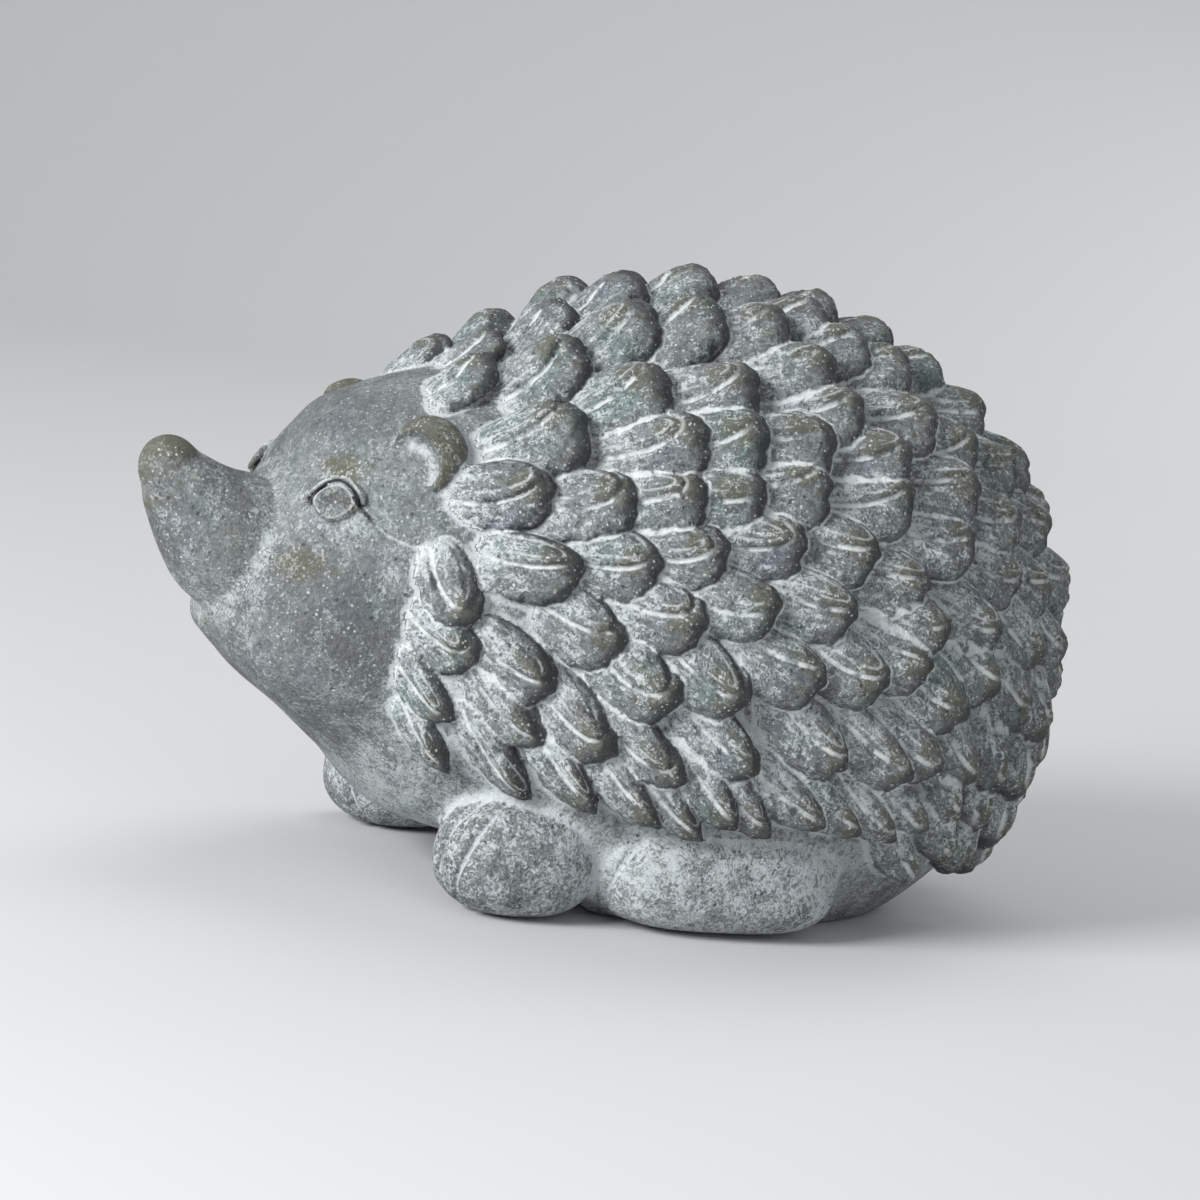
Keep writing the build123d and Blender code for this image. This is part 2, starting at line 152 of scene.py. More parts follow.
def head_distance(points):
    """How far points are from the skin of the head's cone."""
    x, y, z = points[:, 0], points[:, 1], points[:, 2]
    along = (-y - head_back) / (head_reach - head_back)
    half_width = np.interp(along, head_steps, head_widths)
    top = np.interp(along, head_steps, head_tops)
    bottom = np.interp(along, head_steps, head_bottoms)
    middle, half_height = (top + bottom) / 2, (top - bottom) / 2
    upward = z - middle
    spread = np.abs(x / half_width) ** head_power + np.abs(upward / half_height) ** head_power
    spread = np.maximum(spread, 1e-6) ** (1 / head_power)
    around = np.sqrt(x * x + upward * upward) * (1 - 1 / spread) * head_estimate_share
    ahead = -y - head_reach
    behind = y + head_back - head_overlap
    return lifted_chest(np.maximum(np.maximum(around, ahead), behind), points)


def ball_distance(points, centre, sizes):
    """How far points are from an egg's skin, roughly."""
    offset = (points - np.array(centre, np.float32)) / np.array(sizes, np.float32)
    spread = np.sqrt((offset * offset).sum(1)) + 1e-6
    return (1 - 1 / spread) * np.sqrt(((points - np.array(centre, np.float32)) ** 2).sum(1))


cheek_centre, cheek_sizes, cheek_fillet = (15, -102, 66), (25, 30, 27), 6


def face_distance(points):
    """The head's cone with its cheek swelling out of it."""
    return soft_union(head_distance(points), ball_distance(points, cheek_centre, cheek_sizes), cheek_fillet)


# Snout: a tapering cone that leaves the face level and turns up to the nose, pulled out of the
# same clay, with the mouth's crease where it meets the chin.
snout_root_reach, snout_root_height = 124.0, 77.0
snout_end_reach, snout_end_height = 149.0, 95.0
snout_half_height, snout_fullness = 19.0, 0.96
snout_curve_share, snout_bead_count = 0.30, 26
snout_ways = np.array([0.00, 0.30, 0.58, 0.84, 1.00])
snout_heights = np.array([1.00, 0.95, 0.76, 0.58, 0.42])
snout_beads = []
for way in np.linspace(0, 1, snout_bead_count):
    bow = way * (1 - snout_curve_share * (1 - way) * 2)
    snout_beads.append((
        0,
        -snout_root_reach - (snout_end_reach - snout_root_reach) * way,
        snout_root_height + (snout_end_height - snout_root_height) * bow,
        snout_half_height * np.interp(way, snout_ways, snout_heights) * snout_fullness,
    ))


def snout_distance(points):
    """How far points are from a string of beads that swells from the nose to the face."""
    nearest = np.full(len(points), 1e3, np.float32)
    for x, y, z, radius in snout_beads:
        offset = points - np.array((x, y, z), np.float32)
        nearest = np.minimum(nearest, np.sqrt((offset * offset).sum(1)) - radius)
    return nearest


add_form("snout", (0, -135, 84), reach=38, fillet=13.0, distance=snout_distance)

# Nose: a smooth ball of the same clay, luted onto the tip of the snout and rubbed until the dark
# stone shows.
nose_radius = 7.3
nose_centre = (0, -150.3, 97.4)
add_form("nose_tip", nose_centre, reach=nose_radius + 4, fillet=2.0,
         distance=lambda points: ball_distance(points, nose_centre, (nose_radius,) * 3))

# Eyes: an almond ball of clay in each cheek under a rolled lid, with a line cut round both that runs
# on behind the eye. Places on the face are given along the eye's slit and up its lid.
eye_half_length, eye_half_height, eye_half_depth = 6.4, 5.0, 2.6
eye_reach, eye_height = 116.0, 96.0
eye_turn = math.radians(18)


def face_point(reach, height):
    """A point on the left side of the face, with the way forward along it, up it and out of it."""
    low, high = 0.0, 90.0
    halvings = 30
    for _ in range(halvings):
        middle = (low + high) / 2
        trial = np.array([(middle, -reach, height)], np.float32)
        if face_distance(trial)[0] < 0:
            low = middle
        else:
            high = middle
    point = np.array((low, -reach, height), np.float32)
    probe = 1.5
    slope = []
    for axis in range(3):
        step = np.zeros(3, np.float32)
        step[axis] = probe
        slope.append(face_distance((point + step)[None])[0] - face_distance((point - step)[None])[0])
    out = np.array(slope) / np.linalg.norm(slope)
    ahead = np.array((0, -1, 0)) + out * out[1]
    ahead /= np.linalg.norm(ahead)
    return point, ahead, np.cross(out, ahead), out


eye_point, eye_ahead, eye_upward, eye_out = face_point(eye_reach, eye_height)
if eye_upward[2] < 0:
    eye_upward = -eye_upward
eye_ahead, eye_upward = (
    eye_ahead * math.cos(eye_turn) + eye_upward * math.sin(eye_turn),
    eye_upward * math.cos(eye_turn) - eye_ahead * math.sin(eye_turn),
)


def eye_frame(points):
    """Points as the eye sees them: along the slit, up the lid and out of the face."""
    offset = points - eye_point.astype(np.float32)
    return offset @ eye_ahead, offset @ eye_upward, offset @ eye_out


def almond_share(along):
    """How much of the eye's full height is left at a place along its slit."""
    return np.maximum(1 - 0.40 * np.minimum(np.abs(along) / eye_half_length, 1.3) ** 2, 0.3)


def eye_distance(points):
    """The almond ball of the eye."""
    along, upward, out = eye_frame(points)
    half_height = eye_half_height * almond_share(along)
    spread = np.sqrt((along / eye_half_length) ** 2 + (upward / half_height) ** 2
                     + (out / eye_half_depth) ** 2) + 1e-6
    return (1 - 1 / spread) * np.sqrt(along ** 2 + upward ** 2 + out ** 2)


lid_radius, lid_thinning, lid_height_out = 1.15, 0.40, 0.5
lid_gap_along, lid_gap_up = 1.1, 0.5
lid_steps = np.linspace(-0.06, 0.92, 28)


def lid_distance(points):
    """The rolled upper lid: an arch over the eye that runs down past its back corner."""
    along, upward, out = eye_frame(points)
    nearest = np.full(len(points), 1e3, np.float32)
    for step in lid_steps:
        turn = math.pi * (0.04 + 0.99 * step)
        centre_along = math.cos(turn) * (eye_half_length + lid_gap_along)
        centre_up = math.sin(turn) * (eye_half_height + lid_gap_up)
        radius = lid_radius * (1 - lid_thinning * abs(step - 0.5) * 2)
        offset = (along - centre_along) ** 2 + (upward - centre_up) ** 2 + (out - lid_height_out) ** 2
        nearest = np.minimum(nearest, np.sqrt(offset) - radius)
    return nearest


# The cut line's way behind the eye, from the outer corner
far_from_eye = 9.0
tail_depth, tail_half_width = 0.6, 0.7
tail_places = [(-5.0, 1.6), (-7.2, -0.8), (-9.6, -2.7), (-13.2, -5.4), (-18.4, -6.7), (-23.1, -7.1)]


def tail_distance(points):
    """How far points are from the crease behind the eye."""
    along, upward, out = eye_frame(points)
    nearest = np.full(len(points), far_from_eye, np.float32)
    for start, end in zip(tail_places[:-1], tail_places[1:]):
        run, climb = end[0] - start[0], end[1] - start[1]
        past, over = along - start[0], upward - start[1]
        share = np.clip((past * run + over * climb) / (run ** 2 + climb ** 2), 0, 1)
        nearest = np.minimum(nearest, np.hypot(past - run * share, over - climb * share))
    return np.where(np.abs(out) < far_from_eye, nearest, far_from_eye)


def creased_face_distance(points):
    """The head with the crease pressed into it behind the eye."""
    return face_distance(points) + tail_depth * np.exp(-(tail_distance(points) / tail_half_width) ** 2)


add_form("head", (0, -88, 68), reach=105, fillet=2.0, distance=creased_face_distance)
add_form("eye", eye_point, reach=10, fillet=0.1, distance=eye_distance)
add_form("eyelid", eye_point, reach=12, fillet=0.3, distance=lid_distance)

# Ears: small round cups of clay that lean back against the first quills, each scooped out with a
# thumb from the front and below, so that its rim is an open crescent.
ear_reach, ear_height = 96.0, 110.0
ear_half_length, ear_half_height, ear_half_depth = 9.0, 10.2, 6.4
ear_centre = (-1.0, 0.5, 0.8)
scoop_centre, scoop_radius, scoop_squash = (5.6, -4.4, 4.6), 8.2, 0.85
ear_point, ear_ahead, ear_upward, ear_out = face_point(ear_reach, ear_height)
if ear_upward[2] < 0:
    ear_upward = -ear_upward


def ear_distance(points):
    """A cup with a thick rim behind a hollow that opens forwards."""
    offset = points - ear_point.astype(np.float32)
    along, upward, out = offset @ ear_ahead, offset @ ear_upward, offset @ ear_out
    spread = np.sqrt(((along - ear_centre[0]) / ear_half_length) ** 2
                     + ((upward - ear_centre[1]) / ear_half_height) ** 2
                     + ((out - ear_centre[2]) / ear_half_depth) ** 2) + 1e-6
    cup = (1 - 1 / spread) * np.sqrt(along ** 2 + upward ** 2 + out ** 2)
    scoop = np.sqrt((along - scoop_centre[0]) ** 2 + ((upward - scoop_centre[1]) * scoop_squash) ** 2
                    + (out - scoop_centre[2]) ** 2) - scoop_radius
    return np.maximum(cup, -scoop)


add_form("ear", ear_point, reach=16, fillet=1.6, distance=ear_distance)

# Feet: plump rounded paws of clay, flat underneath, with the toes drawn into the front by curved
# grooves. The toes fan round the front of each paw and turn out to the side.
foot_rise_share, foot_estimate_share = 0.55, 0.8
toe_splay, toe_curl, toe_pivot_back = 0.50, 0.32, 3
first_toe_angle, toe_count = 0.25, 2.3
groove_depth, groove_half_width, toe_swell = 1.4, 0.8, 0.2


def add_foot(node, half_width, half_length, height, spread, reach, foot_power, toe_turn):
    """One left foot with its toes pressed into the front of the pad."""
    rise = height * foot_rise_share

    def distance(points):
        x, y, z = points[:, 0] - spread, points[:, 1] + reach, points[:, 2] - (height - rise)
        vertical = np.where(z > 0, rise, height - rise)
        spreads = (np.abs(x / half_width) ** foot_power + np.abs(y / half_length) ** foot_power
                   + np.abs(z / vertical) ** foot_power)
        spreads = np.maximum(spreads, 1e-6) ** (1 / foot_power)
        pad = np.sqrt(x * x + y * y + z * z) * (1 - 1 / spreads) * foot_estimate_share
        heel = half_length - half_width
        turn = np.arctan2(x, -y - heel + toe_pivot_back) - toe_splay
        turn = turn - toe_curl * z / rise
        on_toes = np.clip((first_toe_angle - turn) / 0.15, 0, 1)
        on_toes = on_toes * np.clip((turn + toe_turn * toe_count) / 0.2, 0, 1)
        on_toes *= np.clip(1.3 - z / rise, 0, 1)
        share = turn / toe_turn
        between_toes = np.abs(share - np.round(share)) * toe_turn * half_width
        return pad + on_toes * (groove_depth * np.exp(-(between_toes / groove_half_width) ** 2) - toe_swell)

    add_form(node, (spread, -reach, height / 2), reach=half_length + 10, fillet=3.0, distance=distance)


add_foot("front_foot", half_width=16.0, half_length=20.0, height=30.0, spread=43.0, reach=61.0,
         foot_power=2.5, toe_turn=0.50)
add_foot("hind_foot", half_width=22.0, half_length=33.0, height=30.0, spread=44.0, reach=9.0,
         foot_power=3.0, toe_turn=0.32)

# Quill coat: overlapping leaf-shaped quills in bands from the hairline to the rump, each modelled
# alone and luted on. Each place gives its angle from the front pole, its angle down from the crown
# and, where it leans, its extra turn.
quill_length, quill_width, quill_height = 33.0, 21.0, 12.0
quill_squareness, quill_keel, quill_estimate_share = 2.6, 0.42, 0.8
crease_depth, crease_half_width = 1.2, 0.8
petal_height, second_petal_height, lump_height, peak_height = 0.5, 0.35, 0.34, 0.9
coat_centre = np.array((0, 0, 70.0))
quill_bands = [
    [(28, 75, 45), (26, 107), (28, 121), (27, 91)],
    [(38, 0), (34, 16), (39, 40), (34, 52), (36, 70), (35, 94), (36, 106), (37, 119)],
    [(48, 0), (43, 21), (44, 55), (47, 68), (43, 83), (45, 104), (46, 116)],
    [(59, 0), (55, 16), (52, 32), (55, 44), (55, 55), (58, 66), (55, 78), (53, 93), (57, 107), (56, 116)],
    [(71, 0), (66, 18), (67, 33), (66, 43), (65, 54), (68, 75), (65, 90), (70, 103), (64, 117), (70, 112)],
    [(83, 0), (77, 18), (79, 43), (78, 53), (73, 63), (79, 87), (77, 114)],
    [(95, 0), (83, 27), (87, 12), (87, 36), (89, 62), (85, 74), (89, 101), (86, 113)],
    [(94, 19), (96, 44), (98, 53), (95, 86), (95, 115)],
    [(107, 0), (102, 21), (105, 33), (103, 67), (106, 83), (104, 103), (106, 117), (109, 75)],
    [(119, 0), (113, 13), (116, 35), (115, 45), (115, 57), (118, 90), (113, 102), (114, 116), (117, 128)],
    [(122, 20), (129, 47), (131, 60), (126, 73), (128, 83), (126, 103), (125, 113), (126, 123)],
    [(131, 0), (128, 33), (135, 24), (143, 58), (142, 73), (141, 90), (138, 105), (137, 117), (136, 130)],
    [(143, 0), (141, 38), (149, 20), (155, 45), (154, 70), (153, 95), (150, 113), (148, 131)],
    [(156, 0), (166, 30), (167, 80), (164, 122), (159, 146), (148, 148)],
]


def eased(value, low, high):
    """A soft step from 0 below the low mark to 1 above the high mark."""
    share = min(1, max(0, (value - low) / (high - low)))
    return share * share * (3 - 2 * share)


def skin_point(front_angle, crown_angle):
    """The animal's skin at an angle from the front pole and an angle down from the crown."""
    away, down = math.radians(front_angle), math.radians(crown_angle)
    direction = np.array((math.sin(away) * math.sin(down), -math.cos(away), math.sin(away) * math.cos(down)))
    near, beyond = 0.0, 200.0
    halvings = 26
    for _ in range(halvings):
        middle = (near + beyond) / 2
        place = coat_centre + direction * middle
        trial = np.array([(abs(place[0]), place[1], place[2])]).astype(np.float32)
        if body_distance(trial)[0] < 0 or head_distance(trial)[0] < 0:
            near = middle
        else:
            beyond = middle
    return coat_centre + direction * near


def unit(vector):
    """The same way, one long."""
    return vector / np.linalg.norm(vector)


def between(start, end, share):
    """The value at one share of the way from a start to an end."""
    return start + (end - start) * share


def add_quill(node, front_angle, crown_angle, turn=0):
    """One quill: a plump leaf with a crest, a smaller petal pressed onto it, and a blunt steep tip."""
    point = skin_point(front_angle, crown_angle)
    backward = unit(skin_point(front_angle + 4, crown_angle) - skin_point(front_angle - 4, crown_angle))
    sideways = skin_point(front_angle, crown_angle + 4) - skin_point(front_angle, crown_angle - 4)
    outward = unit(np.cross(backward, sideways))
    if outward @ (point - coat_centre) < 0:
        outward = -outward
    downward = np.array((0, 0, -1.0))
    downward = unit(downward - outward * (downward @ outward) + (1e-9, 0, 0))
    on_fringe = eased(crown_angle, 92, 118)
    on_rump = eased(front_angle, 105, 150) * eased(crown_angle, 40, 100)
    droop = math.radians(40 * eased(crown_angle, 40, 115) + 56 * on_rump + turn)
    heading = backward
    if crown_angle > 0:
        droop += chance.normal(0, 0.06)
        heading = backward * math.cos(droop) + downward * math.sin(droop)
    tilt = between(between(23, 11, eased(crown_angle, 15, 70)), 7, on_fringe)
    rise = math.radians(tilt + chance.normal(0, 1.5))
    axis = unit(unit(heading) * math.cos(rise) + outward * math.sin(rise))
    grown = eased(front_angle + 0.8 * min(crown_angle, 40), 36, 66)
    small_share = 1 - grown
    size = between(0.55, 1, grown)
    size *= between(0.80, 1, eased(front_angle, 26, 42)) * between(1, 0.86, eased(crown_angle, 40, 65))
    length = quill_length * size * (1 + chance.normal(0, 0.03) + 0.25 * small_share + 0.16 * on_fringe)
    across = unit(np.cross(axis, outward))
    up = np.cross(across, axis)
    if up @ outward < 0:
        up = -up
    if crown_angle > 0:
        roll = chance.normal(0, 0.12)
        across, up = (
            across * math.cos(roll) + up * math.sin(roll),
            up * math.cos(roll) - across * math.sin(roll),
        )
    half_width = quill_width * size * between(1, 0.66, on_fringe) * (1 + 0.75 * small_share) / 2
    tip_bluntness, tip_taper = between(3.5, 2.3, on_fringe), between(0.10, 0.42, on_fringe)
    half_height = quill_height * size * 0.48 * between(0.72, 1, eased(front_angle, 26, 40))
    fullest = 0.54 + chance.normal(0, 0.02)
    centre = point + axis * (length * (fullest - 0.5))
    petal_way, petal_side = 0.44 + chance.normal(0, 0.04), -0.42 + chance.normal(0, 0.10)
    petal_length, petal_width = 0.50 + chance.normal(0, 0.03), 0.58 + chance.normal(0, 0.08)
    petal_twist, bow = chance.normal(0.10, 0.14), chance.normal(0, 1.0)
    peak_way, peak_side = 0.80 + chance.normal(0, 0.03), -0.20 + chance.normal(0, 0.12)
    crest_height = 0.9 + chance.normal(0, 0.2)
    phases = chance.uniform(0, 6.28, 4)
    tone = chance.uniform(-1, 1)
    axis, across, up, centre = (vector.astype(np.float32) for vector in (axis, across, up, centre))

    def local(points):
        offset = points - centre
        along = offset @ axis
        share = along / length + fullest
        sideway = offset @ across + bow * (share - 0.5) ** 2
        return along, share, sideway, offset @ up

    def beyond_petal(share, sideway):
        from_middle = share - petal_way
        side = sideway / half_width - petal_side - petal_twist * from_middle
        ring = np.sqrt((from_middle / petal_length) ** 2 + (side / petal_width) ** 2) + 1e-3
        steepness = np.hypot(from_middle / (petal_length ** 2 * length),
                             side / (petal_width ** 2 * half_width))
        return (ring - 1) * ring / np.maximum(steepness, 0.3 / half_width)

    def distance(points):
        along, share, sideway, out = local(points)
        span = np.where(along > 0, length * (1 - fullest), length * fullest * 1.05)
        ahead = np.clip(along / span, -1.5, 1.5)
        narrow = 1 - np.where(ahead < 0, 0.10 * np.minimum(-ahead, 1), tip_taper * np.minimum(ahead, 1) ** 2)
        wide = half_width * narrow * np.where(sideway < 0, 0.94, 1.06)
        flank = sideway / wide
        high = half_height * (1 + quill_keel * np.clip(share - 0.5, -0.5, 0.4))
        ring = np.abs(flank) ** quill_squareness + np.abs(out / high) ** quill_squareness
        ring = ring ** (1 / quill_squareness)
        blunt = np.where(ahead > 0, tip_bluntness, quill_squareness)
        spread = (np.abs(ahead) ** blunt + ring ** blunt) ** (1 / blunt) + 1e-6
        egg = (1 - 1 / spread) * np.sqrt(along ** 2 + sideway ** 2 + out ** 2) * quill_estimate_share
        crest = crest_height * np.exp(-((flank + 0.26) / 0.36) ** 2) * np.clip((share - 0.1) / 0.6, 0, 1)
        peak = peak_height * np.exp(-((share - peak_way) / 0.14) ** 2 - ((flank - peak_side) / 0.38) ** 2)
        beyond = beyond_petal(share, sideway)
        fading = np.clip((0.96 - share) / 0.14, 0, 1)
        groove = crease_depth * np.exp(-(beyond / crease_half_width) ** 2) * fading
        petal = petal_height / (1 + np.exp(np.clip(beyond / 0.35, -30, 30)))
        second = second_petal_height * np.exp(-((beyond + half_width * 0.34) / 0.55) ** 2) * fading
        lumps = np.sin(along * 0.9 + phases[0]) * np.sin(sideway * 1.1 + phases[1])
        lumps += 0.5 * np.sin(along * 2.1 + phases[2]) * np.sin(sideway * 1.9 + phases[3])
        lower = lump_height * lumps * (0.35 + 0.65 / (1 + np.exp(np.clip(-beyond / 0.5, -30, 30))))
        outer = out > -1
        return egg + outer * (0.15 - crest - peak + groove - petal + second - lower)

    def marks(points):
        along, share, sideway, out = local(points)
        peaked = np.exp(-((share - peak_way) / 0.13) ** 2 - ((sideway / half_width - peak_side) / 0.40) ** 2)
        return share, beyond_petal(share, sideway), peaked, np.full(len(points), tone), sideway

    add_form(node, centre, reach=length * 0.66, fillet=0.8, distance=distance, marks=marks)


for number, band in enumerate(quill_bands, start=1):
    for place in sorted(band):
        add_quill(f"quill_row_{number:02d}", *place)

# Closing plug: a disc of the same stone that closes the hollow casting from below, let into a stepped
# hole in the flat underside. Its own solid is shown, so only the hole is cut here, a hair wider.
plug_radius, plug_lip_thickness, plug_gap = 30.0, 5.0, 0.4

# The skin of the casting: all forms are grown together, cut flat at the ground, and meshed on the
# left half and its mirror image, then divided again into the pieces that were luted together.
far = 40.0
cell_size, cells_past_zero, cells_in_line = 14.0, 64, 1024
fillet_margin, ground_fillet = 4, 1.5


def cast(points):
    """For points on the left half: distance to the skin, the two nearest forms, and their gap."""
    depth = np.full(len(points), far, np.float32)
    first = np.full(len(points), far, np.float32)
    second = np.full(len(points), far, np.float32)
    owner = np.zeros(len(points), np.int16)
    next_owner = np.zeros(len(points), np.int16)
    cells = np.floor(points / cell_size).astype(np.int64) + cells_past_zero
    keys = (cells[:, 0] * cells_in_line + cells[:, 1]) * cells_in_line + cells[:, 2]
    order = np.argsort(keys, kind="stable")
    breaks = np.flatnonzero(np.diff(keys[order])) + 1
    for group in np.split(order, breaks):
        local = points[group]
        low, high = local.min(0), local.max(0)
        middle, radius = (low + high) / 2, np.linalg.norm(high - low) / 2
        skin_here, first_here, second_here = depth[group], first[group], second[group]
        owner_here, next_here = owner[group], next_owner[group]
        for number, form in enumerate(forms):
            if np.linalg.norm(form["centre"] - middle) > form["reach"] + radius + fillet_margin:
                continue
            own = form["distance"](local).astype(np.float32)
            skin_here = soft_union(skin_here, own, form["fillet"])
            closer = own < first_here
            next_here = np.where(closer, owner_here, np.where(own < second_here, number, next_here))
            second_here = np.where(closer, first_here, np.minimum(second_here, own))
            first_here = np.where(closer, own, first_here)
            owner_here = np.where(closer, number, owner_here)
        depth[group], first[group], second[group] = skin_here, first_here, second_here
        owner[group], next_owner[group] = owner_here, next_here
    hole = np.maximum(np.hypot(points[:, 0], points[:, 1]) - plug_radius - plug_gap,
                      points[:, 2] - plug_lip_thickness)
    depth = np.maximum(depth, -hole)
    depth = -soft_union(-depth, points[:, 2], ground_fillet)
    return depth, owner, next_owner, second - first


full_pitch, quick_pitch = 0.8, 1.5
pitch = full_pitch


def grid_line(low, high, fine_low, fine_high):
    """Grid places along one axis, twice as close where the eye is."""
    coarse = [np.arange(low, fine_low, pitch), np.arange(fine_high, high, pitch)]
    return np.concatenate([coarse[0], np.arange(fine_low, fine_high - pitch / 4, pitch / 2), coarse[1]])


axis_x = grid_line(0, 84, eye_point[0] - 8, eye_point[0] + 8)
axis_y = grid_line(-164, 104, eye_point[1] - 9, eye_point[1] + 9)
axis_z = grid_line(-3, 172, eye_point[2] - 8, eye_point[2] + 8)
half = np.full((len(axis_x), len(axis_y), len(axis_z)), far, np.float32)
block, blocks_at_once, block_reach = 12, 120, 1.25
starts = [range(0, size, block) for size in half.shape]
corners = np.array([(i, j, k) for i in starts[0] for j in starts[1] for k in starts[2]])
middles = np.stack([
    axis[np.minimum(corners[:, number] + block // 2, len(axis) - 1)]
    for number, axis in enumerate((axis_x, axis_y, axis_z))
], 1).astype(np.float32)
middle_depth = cast(middles)[0]
needed = np.abs(middle_depth) < block * pitch * block_reach
for (i, j, k), depth in zip(corners[~needed], middle_depth[~needed]):
    half[i:i + block, j:j + block, k:k + block] = depth
for batch in np.array_split(corners[needed], max(1, needed.sum() // blocks_at_once)):
    boxes = [(slice(i, i + block), slice(j, j + block), slice(k, k + block)) for i, j, k in batch]
    places = []
    for box in boxes:
        grid = np.meshgrid(axis_x[box[0]], axis_y[box[1]], axis_z[box[2]], indexing="ij")
        places.append(np.stack([side.ravel() for side in grid], 1))
    depth = cast(np.concatenate(places).astype(np.float32))[0]
    done = 0
    for box, place in zip(boxes, places):
        half[box] = depth[done:done + len(place)].reshape(half[box].shape)
        done += len(place)
for wall in (half[-1], half[:, 0], half[:, -1], half[:, :, 0], half[:, :, -1]):
    wall[:] = far
stone = np.concatenate([half[:0:-1], half])
axis_x = np.concatenate([-axis_x[:0:-1], axis_x])


def skin(values, axes):
    """Corners and four-sided faces of the skin where the values pass through zero."""
    inside = values < 0
    total = np.zeros(tuple(size - 1 for size in values.shape), np.uint8)
    shifts = [(a, b, c) for a in (0, 1) for b in (0, 1) for c in (0, 1)]
    for a, b, c in shifts:
        total += inside[a:a + total.shape[0], b:b + total.shape[1], c:c + total.shape[2]]
    cell = np.argwhere((total > 0) & (total < 8))
    index = np.full(total.shape, -1, np.int32)
    index[tuple(cell.T)] = np.arange(len(cell))
    corner_value = {shift: values[tuple((cell + shift).T)] for shift in shifts}
    sums = np.zeros((len(cell), 3))
    counts = np.zeros(len(cell))
    for axis in range(3):
        for start in shifts:
            if start[axis] == 1:
                continue
            end = tuple(1 if side == axis else start[side] for side in range(3))
            one, other = corner_value[start], corner_value[end]
            crossing = (one < 0) != (other < 0)
            share = np.where(crossing, one / np.where(crossing, one - other, 1), 0)
            for side in range(3):
                base = axes[side][cell[:, side] + start[side]]
                if side == axis:
                    step = axes[side][cell[:, side] + 1] - axes[side][cell[:, side]]
                    base = base + share * step
                sums[:, side] += np.where(crossing, base, 0)
            counts += crossing
    places = sums / counts[:, None]
    faces = []
    for axis in range(3):
        one = np.take(inside, range(inside.shape[axis] - 1), axis)
        other = np.take(inside, range(1, inside.shape[axis]), axis)
        edges = np.argwhere(one != other)
        around = [side for side in range(3) if side != axis]
        keep = (edges[:, around[0]] > 0) & (edges[:, around[1]] > 0)
        edges = edges[keep]
        leaving = one[tuple(edges.T)]
        ring = []
        for a, b in ((-1, -1), (0, -1), (0, 0), (-1, 0)):
            spot = edges.copy()
            spot[:, around[0]] += a
            spot[:, around[1]] += b
            ring.append(index[tuple(spot.T)])
        quad = np.stack(ring, 1)
        flip = leaving if axis == 1 else ~leaving
        quad[flip] = quad[flip][:, ::-1]
        faces.append(quad)
    return places, np.concatenate(faces)


corners_mm, quads = skin(stone, (axis_x, axis_y, axis_z))
folded = corners_mm.copy()
folded[:, 0] = np.abs(folded[:, 0])
_, owner, next_owner, seam = cast(folded.astype(np.float32))
count = len(corners_mm)

# Normals of the whole casting, so that no piece shows its edge, and how hollow or proud each point is
fine_rounds, broad_rounds = 6, 40
first, second, third, fourth = (corners_mm[quads[:, side]] for side in range(4))
face_normals = np.cross(third - first, fourth - second)
normals = np.zeros((count, 3))
for side in range(4):
    for axis in range(3):
        normals[:, axis] += np.bincount(quads[:, side], face_normals[:, axis], count)
normals /= np.linalg.norm(normals, axis=1)[:, None] + 1e-12
ends = np.concatenate([quads[:, (side, (side + 1) % 4)] for side in range(4)])
neighbours = np.bincount(ends[:, 0], minlength=count) + np.bincount(ends[:, 1], minlength=count)
smoothed = corners_mm.copy()


def spread_out(values):
    """Each point's value averaged with its neighbours'."""
    result = np.empty_like(values)
    for axis in range(values.shape[1]):
        column = np.bincount(ends[:, 0], values[ends[:, 1], axis], count)
        column += np.bincount(ends[:, 1], values[ends[:, 0], axis], count)
        result[:, axis] = column / neighbours
    return result


hollows = []
rounds = 0
for wanted in (fine_rounds, broad_rounds):
    while rounds < wanted * (full_pitch / pitch) ** 2:
        smoothed = spread_out(smoothed)
        rounds += 1
    hollows.append(((smoothed - corners_mm) * normals).sum(1))
fine_hollow, broad_hollow = hollows

before_quill, far_from_crease = -1.0, 9.0
along = np.full(count, before_quill)
crease = np.full(count, far_from_crease)
proud = np.zeros(count)
tone = np.zeros(count)
side_mm = np.zeros(count)
for number, form in enumerate(forms):
    if form["marks"]:
        mine = owner == number
        found = form["marks"](folded[mine].astype(np.float32))
        along[mine], crease[mine], proud[mine], tone[mine], side_mm[mine] = found


# Finishes: one grey cast stone with an antique wash, brushed on and wiped off again. One function
# turns a colour on screen to light, and one adds a node with its settings and links.


def colour(code):
    """An sRGB hex colour as linear light."""
    light = []
    for place in (1, 3, 5):
        part = int(code[place:place + 2], 16) / 255
        light.append(part / 12.92 if part <= 0.04045 else ((part + 0.055) / 1.055) ** 2.4)
    return (*light, 1)


def add_node(tree, kind, settings=None, **links):
    """A node of one kind, with its settings, and its inputs linked or set by name or number."""
    node = tree.nodes.new("ShaderNode" + kind)
    for name, value in (settings or {}).items():
        setattr(node, name, value)
    for name, value in links.items():
        key = int(name[1:]) if name[0] == "i" and name[1:].isdigit() else name.replace("_", " ")
        socket = node.inputs[key]
        if isinstance(value, bpy.types.NodeSocket):
            tree.links.new(value, socket)
        else:
            socket.default_value = value
    return node


